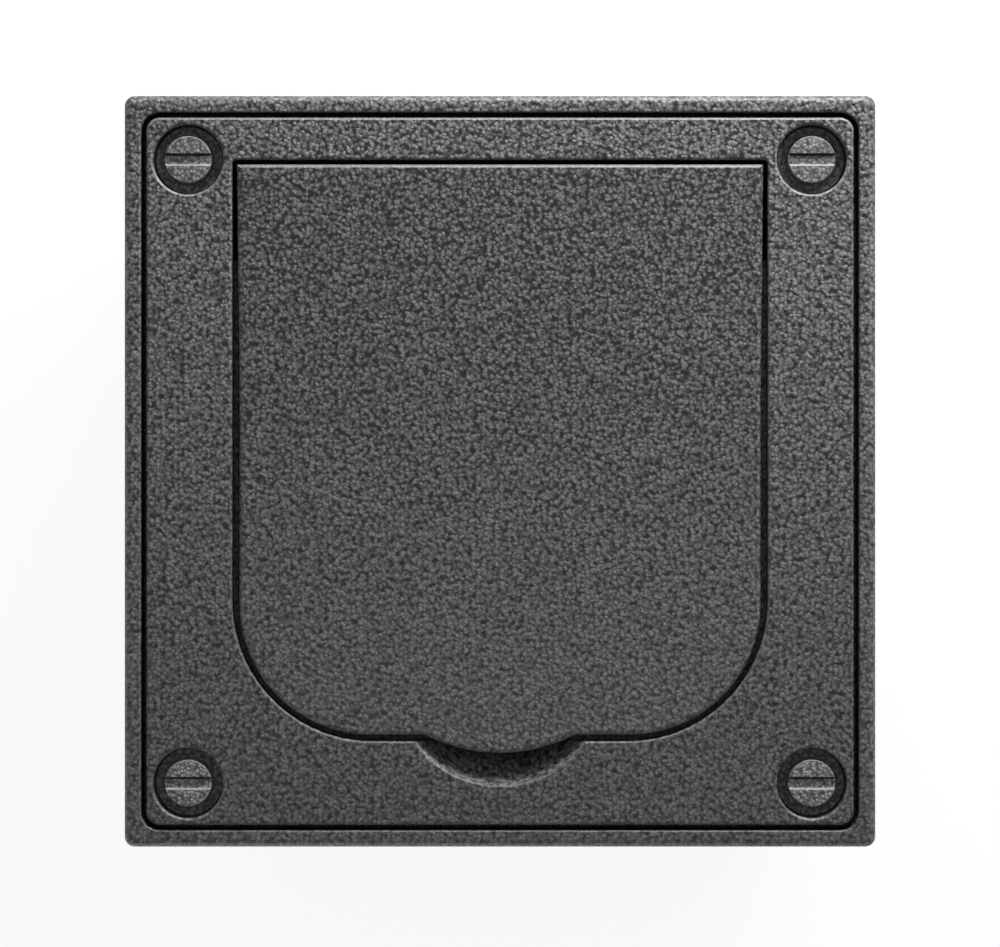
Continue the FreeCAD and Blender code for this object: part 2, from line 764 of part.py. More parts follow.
# Bent strip with a clip at each end and the earth terminal below it
def make_earth_bracket():
    top = down(bracket_clip_depth)
    strip_top = down(cup_under)
    strip_low = down(strip_under)
    outer_bend = bracket_bend_radius + bracket_thickness
    profile = rounded_edges([
        (clip_outer, top, 0),
        (clip_inner, top, 0),
        (clip_inner, strip_top, bracket_bend_radius),
        (-clip_inner, strip_top, bracket_bend_radius),
        (-clip_inner, top, 0),
        (-clip_outer, top, 0),
        (-clip_outer, strip_low, outer_bend),
        (clip_outer, strip_low, outer_bend),
    ], -bracket_width / 2)
    strip = prism(Part.Wire(profile), bracket_width).rotated(V(), V(1, 1, 1), 120)
    half = terminal_length / 2
    low = down(earth_terminal_under)
    terminal = block((-bracket_width / 2, bracket_width / 2),
                     (earth_terminal_y - half, earth_terminal_y + half), (low, strip_low))
    screw_z = low + terminal_height / 2
    screw_start = V(0, earth_terminal_y, screw_z)
    holes = [
        rod(centre_screw_radius + shank_clearance, strip_low, strip_top),
        rod(wire_hole_radius, low, screw_z + wire_hole_radius, 0, earth_terminal_y),
        Part.makeCylinder(terminal_screw_radius + shank_clearance, half, screw_start, V(0, 1, 0)),
    ]
    return strip.fuse(terminal).cut(Part.makeCompound(holes)).removeSplitter()


# Slit pin sleeve standing on its terminal block
def make_contact(x):
    low = down(terminal_under)
    shoulder = down(terminal_top)
    top = down(contact_top)
    sleeve = ring(contact_inner_radius, contact_outer_radius, shoulder, top, x)
    slit_x = (x - contact_slit / 2, x + contact_slit / 2)
    slit_y = (-contact_outer_radius, contact_outer_radius)
    slit = block(slit_x, slit_y, (shoulder + contact_slit, top))
    half = terminal_length / 2
    terminal = block((x - terminal_width / 2, x + terminal_width / 2), (-half, half), (low, shoulder))
    screw_z = low + terminal_height / 2
    holes = [
        rod(wire_hole_radius, low, screw_z + wire_hole_radius, x),
        Part.makeCylinder(terminal_screw_radius + shank_clearance, half, V(x, 0, screw_z), V(0, -1, 0)),
    ]
    return sleeve.cut(slit).fuse(terminal).cut(Part.makeCompound(holes)).removeSplitter()


def make_terminal_screws():
    half = terminal_length / 2
    screw = slotted_screw(terminal_screw_radius, terminal_screw_length, terminal_head_radius,
                          terminal_head_height, terminal_slot_width / 2, terminal_slot_width,
                          terminal_slot_depth, 0)
    facing_front = screw.rotated(V(), V(1, 0, 0), 90)
    facing_rear = screw.rotated(V(), V(1, 0, 0), -90)
    screw_z = down(terminal_under) + terminal_height / 2
    earth_z = down(earth_terminal_under) + terminal_height / 2
    return Part.makeCompound([
        facing_front.translated(V(-contact_x, -half, screw_z)),
        facing_front.translated(V(contact_x, -half, screw_z)),
        facing_rear.translated(V(0, earth_terminal_y + half, earth_z)),
    ])


def make_device_seal():
    high = down(socket_rim_depth + socket_rim_chamfer)
    inner = socket_rim_radius + seal_clearance
    outer = collar_radius - seal_clearance
    return ring(inner, outer, high - device_seal_height, high)


def make_earth_screw():
    seat = pot_floor + earth_boss_height + earth_washer_thickness
    return slotted_screw(screw_shank_radius, earth_screw_length, earth_head_radius, earth_head_height,
                         screw_head_chamfer, screw_slot_width, screw_slot_depth, seat, 0, earth_boss_y)


def make_earth_washer():
    low = pot_floor + earth_boss_height
    top = low + earth_washer_thickness
    return ring(screw_shank_radius + washer_clearance, earth_washer_radius, low, top, 0, earth_boss_y)


# A piece turned about +Z is laid over to point sideways out of an entry, to the right or the left
def in_side_entry(shape, side):
    return shape.rotated(V(), V(0, 1, 0), side * 90).translated(V(0, 0, entry_height))


def make_blanking_plug(side):
    head_low = entry_face + plug_seal_thickness
    head_top = head_low + plug_head_thickness
    tail = entry_inner - plug_tail
    shank = entry_hole_radius - plug_clearance
    plug = turned([
        (0, head_low),
        (shank - plug_bore_wall, head_low),
        (shank - plug_bore_wall, tail),
        (shank, tail),
        (shank, head_low),
        (plug_head_radius, head_low),
        (plug_head_radius, head_top - screw_head_chamfer),
        (plug_head_radius - screw_head_chamfer, head_top),
        (0, head_top),
    ])
    half = plug_slot_width / 2
    reach = plug_slot_length / 2
    plug = plug.cut(block((-half, half), (-reach, reach), (head_top - plug_slot_depth, head_top)))
    return in_side_entry(plug, side)


def make_plug_seals():
    inner = entry_hole_radius
    seal = ring(inner, inner + plug_seal_wall, entry_face, entry_face + plug_seal_thickness)
    return Part.makeCompound([in_side_entry(seal, side) for side in (-1, 1)])


right_spring = make_right_spring()
pieces = {
    "box_body": make_box_body(),
    "cover_gasket": make_cover_gasket(),
    "cover_plate": make_cover_plate(),
    "cover_screws": make_cover_screws(),
    "cover_screw_washers": make_cover_screw_washers(),
    "lid": make_lid(),
    "lid_gasket": make_lid_gasket(),
    "hinge_pin": make_hinge_pin(),
    "hinge_spring_right": right_spring,
    "hinge_spring_left": right_spring.mirror(V(), V(1, 0, 0)),
    "device_ring": make_device_ring(),
    "device_screws": make_device_screws(),
    "socket_face": make_socket_face(),
    "socket_base": make_socket_base(),
    "centre_screw": make_centre_screw(),
    "earth_bracket": make_earth_bracket(),
    "line_contact": make_contact(-contact_x),
    "neutral_contact": make_contact(contact_x),
    "terminal_screws": make_terminal_screws(),
    "device_seal": make_device_seal(),
    "earth_screw": make_earth_screw(),
    "earth_washer": make_earth_washer(),
    "blanking_plug_left": make_blanking_plug(-1),
    "blanking_plug_right": make_blanking_plug(1),
    "plug_seals": make_plug_seals(),
}

os.makedirs("parts", exist_ok=True)
for name, shape in pieces.items():
    shape.exportStep(f"parts/{name}.step")
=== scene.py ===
import bmesh
import bpy
import json
import math
from mathutils import Matrix, Vector


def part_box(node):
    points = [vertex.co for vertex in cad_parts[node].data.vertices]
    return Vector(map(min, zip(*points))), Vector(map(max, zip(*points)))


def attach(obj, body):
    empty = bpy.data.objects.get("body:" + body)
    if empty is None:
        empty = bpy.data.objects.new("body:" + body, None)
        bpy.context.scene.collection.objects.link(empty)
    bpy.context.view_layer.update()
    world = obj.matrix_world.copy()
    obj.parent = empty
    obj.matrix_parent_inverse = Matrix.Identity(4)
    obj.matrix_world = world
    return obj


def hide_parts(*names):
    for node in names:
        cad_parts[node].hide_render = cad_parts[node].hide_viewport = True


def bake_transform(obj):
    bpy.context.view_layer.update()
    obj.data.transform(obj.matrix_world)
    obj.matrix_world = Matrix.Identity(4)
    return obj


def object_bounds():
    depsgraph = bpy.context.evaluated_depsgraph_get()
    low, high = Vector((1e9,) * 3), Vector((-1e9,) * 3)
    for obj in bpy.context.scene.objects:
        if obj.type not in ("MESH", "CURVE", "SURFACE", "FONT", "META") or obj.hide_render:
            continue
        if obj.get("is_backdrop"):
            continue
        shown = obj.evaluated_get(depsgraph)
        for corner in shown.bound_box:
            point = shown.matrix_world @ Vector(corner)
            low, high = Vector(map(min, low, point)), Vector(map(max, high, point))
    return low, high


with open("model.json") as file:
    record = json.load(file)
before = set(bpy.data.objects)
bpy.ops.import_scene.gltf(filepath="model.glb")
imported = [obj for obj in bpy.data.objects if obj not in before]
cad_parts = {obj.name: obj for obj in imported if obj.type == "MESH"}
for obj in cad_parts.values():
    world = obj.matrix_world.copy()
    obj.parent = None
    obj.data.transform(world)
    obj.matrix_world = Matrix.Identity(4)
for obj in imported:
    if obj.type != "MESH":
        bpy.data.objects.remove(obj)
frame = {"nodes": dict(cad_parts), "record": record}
cadLow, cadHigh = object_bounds()
cadNodes = frame["nodes"]
faceHeight = cadHigh.z
hingePlace = Vector(frame["record"]["behaviour"]["joints"][0]["pos_m"])
millimetre = 0.001
print("frame loaded with", len(cadNodes), "pieces")


# sRGB hex to the linear colour that shader sockets take
def linear(hexColour):
    channels = [int(hexColour[i:i + 2], 16) / 255 for i in (1, 3, 5)]
    return [c / 12.92 if c <= 0.04045 else ((c + 0.055) / 1.055) ** 2.4 for c in channels] + [1.0]


# adds a node, sets its properties, and fills or links its sockets
def addNode(tree, kind, sockets=None, **settings):
    node = tree.nodes.new(kind)
    for name, value in settings.items():
        setattr(node, name, value)
    for name, value in (sockets or {}).items():
        if isinstance(value, bpy.types.NodeSocket):
            tree.links.new(value, node.inputs[name])
        else:
            node.inputs[name].default_value = value
    return node


# a value run from one pair of ends to 0 and 1, or to another pair
def mapRange(tree, value, ends=(0.0, 1.0), to=(0.0, 1.0), soft=False):
    sockets = {"Value": value, "From Min": ends[0], "From Max": ends[1], "To Min": to[0], "To Max": to[1]}
    return addNode(tree, "ShaderNodeMapRange", sockets,
                   interpolation_type="SMOOTHSTEP" if soft else "LINEAR").outputs["Result"]


# an operation of the math node on numbers or sockets
def compute(tree, operation, *values):
    return addNode(tree, "ShaderNodeMath", dict(enumerate(values)), operation=operation).outputs["Value"]


def multiply(tree, first, second):
    return compute(tree, "MULTIPLY", first, second)


# a value between two others, by a share
def mixValues(tree, share, first, second):
    return addNode(tree, "ShaderNodeMix", {0: share, 2: first, 3: second}).outputs[0]


# the x, y and z of a vector
def splitAxes(tree, vector):
    return addNode(tree, "ShaderNodeSeparateXYZ", {0: vector}).outputs


# the way that the surface faces on the object
def surfaceNormal(tree):
    return addNode(tree, "ShaderNodeTexCoord").outputs["Normal"]


# noise in patches of a size in mm
def addNoise(tree, place, size, detail, bend=0.0):
    sockets = {"Vector": place, "Scale": 1 / size, "Detail": detail, "Distortion": bend}
    return addNode(tree, "ShaderNodeTexNoise", sockets).outputs


# noise drawn out into streaks, with a size in mm along each axis
def addStreaks(tree, place, sizes, detail):
    stretched = addNode(tree, "ShaderNodeVectorMath", {0: place, 1: [1 / size for size in sizes]},
                        operation="MULTIPLY")
    return addNoise(tree, stretched.outputs["Vector"], 1.0, detail)


# scattered cells, pale in the middle and each of its own tone; reach is from the foot to the palest part
def addCells(tree, place, spacing, reach, dullest, dimensions="3D"):
    cells = addNode(tree, "ShaderNodeTexVoronoi", {"Vector": place, "Scale": 1 / spacing},
                    voronoi_dimensions=dimensions)
    middle = mapRange(tree, cells.outputs["Distance"], reach, soft=True)
    tone = addNode(tree, "ShaderNodeSeparateColor", {0: cells.outputs["Color"]})
    return multiply(tree, middle, mapRange(tree, tone.outputs[0], to=(dullest, 1.0)))


# new material with its tree, its shader and the surface place in mm
def startMaterial(name):
    material = bpy.data.materials.new(name)
    material.use_nodes = True
    tree = material.node_tree
    place = addNode(tree, "ShaderNodeTexCoord").outputs["Object"]
    inMm = addNode(tree, "ShaderNodeVectorMath", {"Vector": place, "Scale": 1 / millimetre},
                   operation="SCALE")
    return material, tree, tree.nodes["Principled BSDF"], inMm.outputs["Vector"]


# runs a 0 to 1 pattern into colour, roughness and relief
def applyPattern(tree, shader, pattern, facts, depth=1.0):
    colour = addNode(tree, "ShaderNodeMix",
                     {0: pattern, 6: linear(facts["lowColour"]), 7: linear(facts["highColour"])},
                     data_type="RGBA")
    roughness = mapRange(tree, pattern, to=(facts["lowRoughness"], facts["highRoughness"]))
    bump = addNode(tree, "ShaderNodeBump",
                   {"Height": pattern, "Distance": facts["relief"] * millimetre, "Strength": depth})
    tree.links.new(colour.outputs[2], shader.inputs["Base Color"])
    tree.links.new(roughness, shader.inputs["Roughness"])
    tree.links.new(bump.outputs["Normal"], shader.inputs["Normal"])


# rounded edges of the flush face: leaning surfaces close below it
faceEdges = {
    "reach": 0.8,           # mm below the face
    "fade": 0.4,            # mm over which they start
    "lean": (0.995, 0.95),  # upright share of the normal, from flat
    "wall": (0.1, 0.3),     # upright share of the normal, from walls
}


# 1 on the rounded edges of the face, 0 on flats, walls and everything below
def findFaceEdges(tree, place):
    upright = splitAxes(tree, surfaceNormal(tree))["Z"]
    height = splitAxes(tree, place)["Z"]
    lowest = faceHeight / millimetre - faceEdges["reach"]
    offFlat = mapRange(tree, upright, faceEdges["lean"], soft=True)
    offWall = mapRange(tree, upright, faceEdges["wall"], soft=True)
    nearFace = mapRange(tree, height, (lowest, lowest + faceEdges["fade"]), soft=True)
    return multiply(tree, multiply(tree, offFlat, offWall), nearFace)


# runs a pattern as applyPattern does, but paler and smoother along the edges of the face
def applyEdgedPattern(tree, shader, place, pattern, facts, paleness):
    edge = findFaceEdges(tree, place)
    edged = mixValues(tree, multiply(tree, edge, paleness), pattern, 1.0)
    smooth = mapRange(tree, edge, to=(1.0, 1 - facts["edgeSmooth"]))
    applyPattern(tree, shader, edged, facts, smooth)


levelFrom = 0.7  # upright share of the normal, above which a surface is level


# the surface place laid out flat, and 1 where it is level:
# x and y on level faces, the way round and the height on walls
def layFlat(tree, place):
    turned = addNode(tree, "ShaderNodeVectorMath", {0: surfaceNormal(tree)}, operation="ABSOLUTE")
    facing = splitAxes(tree, turned.outputs["Vector"])
    axes = splitAxes(tree, place)
    lengthwise = compute(tree, "GREATER_THAN", facing["Y"], facing["X"])
    around = mixValues(tree, lengthwise, axes["Y"], axes["X"])
    wall = addNode(tree, "ShaderNodeCombineXYZ", {"X": around, "Y": axes["Z"]})
    level = compute(tree, "GREATER_THAN", facing["Z"], levelFrom)
    flat = addNode(tree, "ShaderNodeMix", {0: level, 4: wall.outputs["Vector"], 5: place}, data_type="VECTOR")
    return flat.outputs[1], level


# hammer-finish stoving enamel on cast aluminium: the paint draws up into pale satin domes on a dark ground
hammerEnamel = {
    "lowColour": "#121212",
    "highColour": "#909090",
    "domeSpacings": (0.87, 0.66),  # mm, of two scatters of domes that run into each other
    "domeReach": (0.66, 0.05),     # of the spacing, from a dome's foot to where its crown is palest
    "dullest": 0.3,         # the dimmest dome beside the palest
    "melt": 0.25,           # how softly two domes meet
    "mottle": 0.35,         # share of an uneven ground under the domes
    "mottleSize": 0.7,      # mm
    "mottleEnds": (0.3, 0.7),      # of the noise, from dark to pale
    "spread": (0.12, 0.85),        # of the domes' height, from the dark seams to the palest crowns
    "drift": 0.6,           # mm that the domes wander
    "driftSize": 0.9,       # mm
    "noiseDetail": 1.0,
    "hingeTones": (-0.09, 0.81),   # seam and crown at the hinge side, painted light: darker seams and paler crowns where the key lamp rakes in
    "tabTones": (0.01, 0.545),     # and at the tab side, farther from the lamp
    "toneReach": 46.0,      # mm from the middle to either
    "wallsAs": -20.0,       # mm from the middle, where the face is painted as the walls are
    "relief": 0.13,         # mm from seam to crown
    "lowRoughness": 0.5,
    "highRoughness": 0.36,
    "edgePale": 0.4,        # painted highlight: an edge that leans to the hinge side, towards the key lamp, is drawn pale and smooth
    "edgeLean": (-0.05, 0.3),      # hinge-side share of the normal, from where it starts to where it is full
    "tabPale": 0.15,        # of it, on the tab side
    "edgeSmooth": 0.35,
    "ior": 1.5,
    "specular": 0.45,
}
# the box is drawn paler, with its own run of painted light from the hinge side and less painted highlight on
# its edges
boxEnamel = dict(hammerEnamel, hingeTones=(-0.06, 0.83), tabTones=(0.035, 0.57), edgePale=0.1)
# the lid's run is painted shade: it darkens towards the hinge side, evening out the key lamp's light across
# the lid
lidEnamel = dict(hammerEnamel, hingeTones=(-0.12, 0.61), tabTones=(0.035, 0.625), toneReach=32.0)


def makeHammerEnamel(name, facts):
    material, tree, shader, place = startMaterial(name)
    flat, level = layFlat(tree, place)
    drift = addNoise(tree, place, facts["driftSize"], facts["noiseDetail"])
    shifted = addNode(tree, "ShaderNodeVectorMath",
                      {0: drift["Color"], 1: [facts["drift"]] * 3, 2: flat},
                      operation="MULTIPLY_ADD").outputs["Vector"]
    scatters = [addCells(tree, shifted, spacing, facts["domeReach"], facts["dullest"], "2D")
                for spacing in facts["domeSpacings"]]
    domes = compute(tree, "SMOOTH_MAX", *scatters, facts["melt"])
    cloud = addNoise(tree, place, facts["mottleSize"], facts["noiseDetail"])
    ground = mapRange(tree, cloud["Fac"], facts["mottleEnds"])
    spread = mapRange(tree, mixValues(tree, facts["mottle"], domes, ground), facts["spread"])
    # painted light and shade: the seam and crown tones run along y, following the key lamp on the hinge side
    axes = splitAxes(tree, place)
    ends = (-facts["toneReach"], facts["toneReach"])
    along = mixValues(tree, level, facts["wallsAs"], axes["Y"])
    seam, crown = [mapRange(tree, along, ends, tones)
                   for tones in zip(facts["tabTones"], facts["hingeTones"])]
    paint = mixValues(tree, spread, seam, crown)
    # painted highlight: edges turn pale only where they lean towards the key lamp, most on the hinge side
    lean = mapRange(tree, splitAxes(tree, surfaceNormal(tree))["Y"], facts["edgeLean"], soft=True)
    edgeHighlightAlong = mapRange(tree, axes["Y"], ends, (facts["edgePale"] * facts["tabPale"], facts["edgePale"]))
    applyEdgedPattern(tree, shader, place, paint, facts, multiply(tree, lean, edgeHighlightAlong))
    shader.inputs["IOR"].default_value = facts["ior"]
    shader.inputs["Specular IOR Level"].default_value = facts["specular"]
    return material


# moulded nitrile rubber: near black and matt, with a grey bloom that lies in patches on the skin
nitrileRubber = {
    "lowColour": "#0e0e0e",
    "highColour": "#2b2b2a",
    "bloomSize": 0.6,       # mm
    "bloomDetail": 3.0,
    "bloomEnds": (0.4, 0.68),  # of the noise, from bare to full bloom
    "lowRoughness": 0.6,
    "highRoughness": 0.82,
    "relief": 0.05,         # mm
    "ior": 1.52,
}
# the washers lie open to the floor, and dust has worked into their skin
dustyRubber = dict(nitrileRubber, lowColour="#484848", highColour="#8a8a8a")


def makeNitrileRubber(name, facts):
    material, tree, shader, place = startMaterial(name)
    noise = addNoise(tree, place, facts["bloomSize"], facts["bloomDetail"])
    bloom = mapRange(tree, noise["Fac"], facts["bloomEnds"], soft=True)
    applyPattern(tree, shader, bloom, facts)
    shader.inputs["IOR"].default_value = facts["ior"]
    return material


# phosphated steel: zinc phosphate, a mineral, grows over the screw in small crystals,
# so it is grey and mottled
phosphatedSteel = {
    "lowColour": "#343434",
    "highColour": "#989897",
    "crystalSpacing": 0.46,       # mm, drawn coarser than the real crystals so that it shows
    "crystalReach": (0.95, 0.0),  # of the spacing, from a crystal's edge to its palest middle
    "dullest": 0.35,              # the dimmest crystal beside the palest
    "lowRoughness": 0.55,
    "highRoughness": 0.4,
    "relief": 0.08,               # mm
    "tabPaintedLight": 1.45,               # painted light: the tab-side screws, farther from the key lamp, are drawn paler
    "hingePaintedLight": 1.08,
    "paintedLightReach": 46.0,             # mm from the middle to either
    "edgePale": 0.6,              # the driver rubs the slot's edges paler, and the pale also stands in as a painted highlight on them
    "edgeSmooth": 0.8,
    "ior": 1.57,
    "specular": 0.3,
}


def makePhosphatedSteel(name, facts):
    material, tree, shader, place = startMaterial(name)
    mottle = addCells(tree, place, facts["crystalSpacing"], facts["crystalReach"], facts["dullest"])
    ends = (-facts["paintedLightReach"], facts["paintedLightReach"])
    # painted light: screws are drawn paler towards the tab side, away from the key lamp
    screwPaintedLight = mapRange(tree, splitAxes(tree, place)["Y"], ends, (facts["tabPaintedLight"], facts["hingePaintedLight"]))
    # the slot's edges are drawn pale: rub wear and a painted highlight
    applyEdgedPattern(tree, shader, place, multiply(tree, mottle, screwPaintedLight), facts, facts["edgePale"])
    shader.inputs["IOR"].default_value = facts["ior"]
    shader.inputs["Specular IOR Level"].default_value = facts["specular"]
    return material


# zinc-plated steel: rolled sheet and turned screws under a bluish passivated plating,
# with faint rolling streaks
zincPlatedSteel = {
    "lowColour": "#8f9398",
    "highColour": "#c9ccd0",
    "streakSize": (6.0, 0.18, 0.18),  # mm along and across the rolling
    "streakDetail": 2.0,
    "cloudSize": 3.5,                 # mm
    "cloudDetail": 3.0,
    "cloudShare": 0.5,                # of clouds beside streaks
    "ends": (0.36, 0.64),             # of both, from dull to bright
    "lowRoughness": 0.4,
    "highRoughness": 0.26,
    "relief": 0.01,                   # mm
}
# rolled brass strip and rod: warm and bright along the rolling lines, with browner clouds of tarnish
brass = {
    "lowColour": "#8f6c2c",
    "highColour": "#d8b568",
    "streakSize": (0.2, 0.2, 5.0),    # mm across and along the rolling
    "streakDetail": 2.0,
    "cloudSize": 2.6,                 # mm
    "cloudDetail": 4.0,
    "cloudShare": 0.6,
    "ends": (0.32, 0.6),
    "lowRoughness": 0.42,
    "highRoughness": 0.26,
    "relief": 0.008,                  # mm
}
# the pin sleeves' brass is drawn dark brown: partly tarnish, partly painted shade for the depth of the
# sleeves
tarnishedShadedBrass = dict(brass, lowColour="#2f2412", highColour="#80642f", lowRoughness=0.55, highRoughness=0.4)


def makeRolledMetal(name, facts):
    material, tree, shader, place = startMaterial(name)
    streaks = addStreaks(tree, place, facts["streakSize"], facts["streakDetail"])
    clouds = addNoise(tree, place, facts["cloudSize"], facts["cloudDetail"])
    both = mixValues(tree, facts["cloudShare"], streaks["Fac"], clouds["Fac"])
    applyPattern(tree, shader, mapRange(tree, both, facts["ends"]), facts)
    shader.inputs["Metallic"].default_value = 1.0
    return material


# drawn stainless spring wire: smooth and bright, with fine lines that the die leaves round the coil
springWire = {
    "lowColour": "#85827d",
    "highColour": "#c4c1bb",
    "lineSize": (0.09, 0.5, 0.5),     # mm along the pin and round it
    "lineDetail": 2.0,
    "lineEnds": (0.34, 0.66),         # of the noise, from dull to bright
    "lowRoughness": 0.34,
    "highRoughness": 0.2,
    "relief": 0.006,                  # mm
}


def makeSpringWire(name, facts):
    material, tree, shader, place = startMaterial(name)
    lines = addStreaks(tree, place, facts["lineSize"], facts["lineDetail"])
    applyPattern(tree, shader, mapRange(tree, lines["Fac"], facts["lineEnds"]), facts)
    shader.inputs["Metallic"].default_value = 1.0
    return material


# black-oxide steel pin: ground, then blackened in hot salts, so it is dark and dull with paler rubbed patches
blackOxideSteel = {
    "lowColour": "#080808",
    "highColour": "#161617",
    "rubSize": 1.6,         # mm
    "rubDetail": 5.0,
    "rubEnds": (0.4, 0.72),  # of the noise, from black to rubbed
    "lowRoughness": 0.78,
    "highRoughness": 0.62,
    "relief": 0.008,        # mm
}


def makeBlackOxideSteel(name, facts):
    material, tree, shader, place = startMaterial(name)
    noise = addNoise(tree, place, facts["rubSize"], facts["rubDetail"])
    rubbed = mapRange(tree, noise["Fac"], facts["rubEnds"], soft=True)
    applyPattern(tree, shader, rubbed, facts)
    shader.inputs["Metallic"].default_value = 1.0
    return material


# moulded grey polycarbonate: an even pale grey with the fine satin grain of a spark-eroded mould
greyPolycarbonate = {
    "lowColour": "#a8aaaa",
    "highColour": "#cbcdcc",
    "grainSize": 0.36,      # mm, drawn coarser than the real grain so that it shows
    "grainEnds": (0.1, 0.75),  # of the spacing, from a pit to the skin between pits
    "lowRoughness": 0.46,
    "highRoughness": 0.36,
    "relief": 0.03,         # mm
    "ior": 1.58,
}


def makeGreyPolycarbonate(name, facts):
    material, tree, shader, place = startMaterial(name)
    grain = addNode(tree, "ShaderNodeTexVoronoi", {"Vector": place, "Scale": 1 / facts["grainSize"]})
    pits = mapRange(tree, grain.outputs["Distance"], facts["grainEnds"])
    applyPattern(tree, shader, pits, facts)
    shader.inputs["IOR"].default_value = facts["ior"]
    return material


# black thermoset moulding compound: hard and glossy, with faint paler swirls where the powder flowed and met
blackThermoset = {
    "lowColour": "#151516",
    "highColour": "#2b2b2b",
    "swirlSize": 4.0,       # mm
    "swirlDetail": 4.0,
    "swirlBend": 1.6,
    "swirlEnds": (0.35, 0.7),  # of the noise, from dark to pale
    "lowRoughness": 0.3,
    "highRoughness": 0.45,
    "relief": 0.02,         # mm
    "ior": 1.6,
}


def makeBlackThermoset(name, facts):
    material, tree, shader, place = startMaterial(name)
    swirl = addNoise(tree, place, facts["swirlSize"], facts["swirlDetail"], facts["swirlBend"])
    applyPattern(tree, shader, mapRange(tree, swirl["Fac"], facts["swirlEnds"], soft=True), facts)
    shader.inputs["IOR"].default_value = facts["ior"]
    return material


# moulded black nylon: a soft sheen over a fine leathery mould grain
blackNylon = {
    "lowColour": "#171718",
    "highColour": "#262627",
    "grainSize": 0.5,       # mm
    "grainDetail": 3.0,
    "grainEnds": (0.34, 0.66),  # of the noise, from dark to pale
    "lowRoughness": 0.42,
    "highRoughness": 0.56,
    "relief": 0.05,         # mm
    "ior": 1.53,
}


def makeBlackNylon(name, facts):
    material, tree, shader, place = startMaterial(name)
    grain = addNoise(tree, place, facts["grainSize"], facts["grainDetail"])
    applyPattern(tree, shader, mapRange(tree, grain["Fac"], facts["grainEnds"]), facts)
    shader.inputs["IOR"].default_value = facts["ior"]
    return material


finishes = {
    "enamel": makeHammerEnamel("hammerEnamel", hammerEnamel),
    "boxEnamel": makeHammerEnamel("boxEnamel", boxEnamel),
    "lidEnamel": makeHammerEnamel("lidEnamel", lidEnamel),
    "rubber": makeNitrileRubber("nitrileRubber", nitrileRubber),
    "dustyRubber": makeNitrileRubber("dustyRubber", dustyRubber),
    "phosphated": makePhosphatedSteel("phosphatedSteel", phosphatedSteel),
    "zinc": makeRolledMetal("zincPlatedSteel", zincPlatedSteel),
    "wire": makeSpringWire("springWire", springWire),
    "blackened": makeBlackOxideSteel("blackOxideSteel", blackOxideSteel),
    "polycarbonate": makeGreyPolycarbonate("greyPolycarbonate", greyPolycarbonate),
    "thermoset": makeBlackThermoset("blackThermoset", blackThermoset),
    "brass": makeRolledMetal("brass", brass),
    "tarnishAndShade": makeRolledMetal("tarnishedShadedBrass", tarnishedShadedBrass),
    "nylon": makeBlackNylon("blackNylon", blackNylon),
}

# pieces whose CAD shape stays, by finish
keptPieces = {
    "enamel": ["cover_plate"],
    "boxEnamel": ["box_body"],
    "lidEnamel": ["lid"],
    "rubber": ["cover_gasket"],
    "zinc": ["device_ring", "terminal_screws", "earth_washer"],
    "blackened": ["hinge_pin"],
    "polycarbonate": ["socket_face"],
    "thermoset": ["socket_base"],
    "brass": ["earth_bracket"],
    "tarnishAndShade": ["line_contact", "neutral_contact"],
    "nylon": ["blanking_plug_left", "blanking_plug_right"],
}
for finish, names in keptPieces.items():
    for name in names:
        for materialSlot in cadNodes[name].material_slots:
            materialSlot.material = finishes[finish]
print("finishes set")


# puts a mesh, lamp or camera into the scene
def addObject(name, data):
    thing = bpy.data.objects.new(name, data)
    bpy.context.scene.collection.objects.link(thing)
    return thing


# turns a bmesh into mesh data
def asData(name, mesh):
    data = bpy.data.meshes.new(name)
    mesh.to_mesh(data)
    mesh.free()
    return data


sharpAngle = 40  # degrees between two faces, above which their edge is crisp


# turns a bmesh into a smooth piece with crisp corners, which rides on a body if one is given
def finishPiece(name, mesh, finish, body, node):
    bmesh.ops.recalc_face_normals(mesh, faces=mesh.faces)
    data = asData(name, mesh)
    data.shade_smooth()
    data.set_sharp_from_angle(angle=math.radians(sharpAngle))
    data.materials.append(finishes[finish])
    piece = addObject(name, data)
    if body:
        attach(piece, body)
    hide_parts(node)
    return piece


cornerShare = 0.48  # of a side, that the rounding of one corner may take
cornerSteps = 5


# rounds the corners of a closed outline of (x, y, radius) points
def roundOutline(corners):
    points = []
    for i, (x, y, radius) in enumerate(corners):
        here = Vector((x, y))
        back = Vector(corners[i - 1][:2]) - here
        ahead = Vector(corners[(i + 1) % len(corners)][:2]) - here
        half = back.angle(ahead) / 2
        cut = min(radius / math.tan(half), cornerShare * back.length, cornerShare * ahead.length)
        start = here + back.normalized() * cut
        end = here + ahead.normalized() * cut
        for step in range(cornerSteps + 1):
            share = step / cornerSteps
            points.append(start * (1 - share) ** 2 + here * 2 * share * (1 - share) + end * share ** 2)
    return points


def anglesRound(count):
    return [2 * math.pi * i / count for i in range(count)]


# joins pairs of rings with faces; a ring that is a point repeats its one corner
def joinRings(mesh, pairs):
    for ring, onward in pairs:
        for i in range(len(ring)):
            j = (i + 1) % len(ring)
            mesh.faces.new(list(dict.fromkeys([ring[i], ring[j], onward[j], onward[i]])))


# joins rings into a tube with closed ends
def closeTube(mesh, rings):
    joinRings(mesh, zip(rings, rings[1:]))
    mesh.faces.new(rings[0])
    mesh.faces.new(rings[-1])


# spins an outline of (radius, height) points in mm about the upright line through a place
def spinOutline(mesh, outline, place, segments, closed=True):
    rings = []
    for radius, height in outline:
        if radius == 0:
            rings.append([mesh.verts.new(place + Vector((0, 0, height * millimetre)))] * segments)
            continue
        ring = []
        for turn in anglesRound(segments):
            spoke = Vector((radius * math.cos(turn), radius * math.sin(turn), height)) * millimetre
            ring.append(mesh.verts.new(place + spoke))
        rings.append(ring)
    pairs = list(zip(rings, rings[1:] + rings[:1]))
    joinRings(mesh, pairs if closed else pairs[:-1])


ringSegments = 120
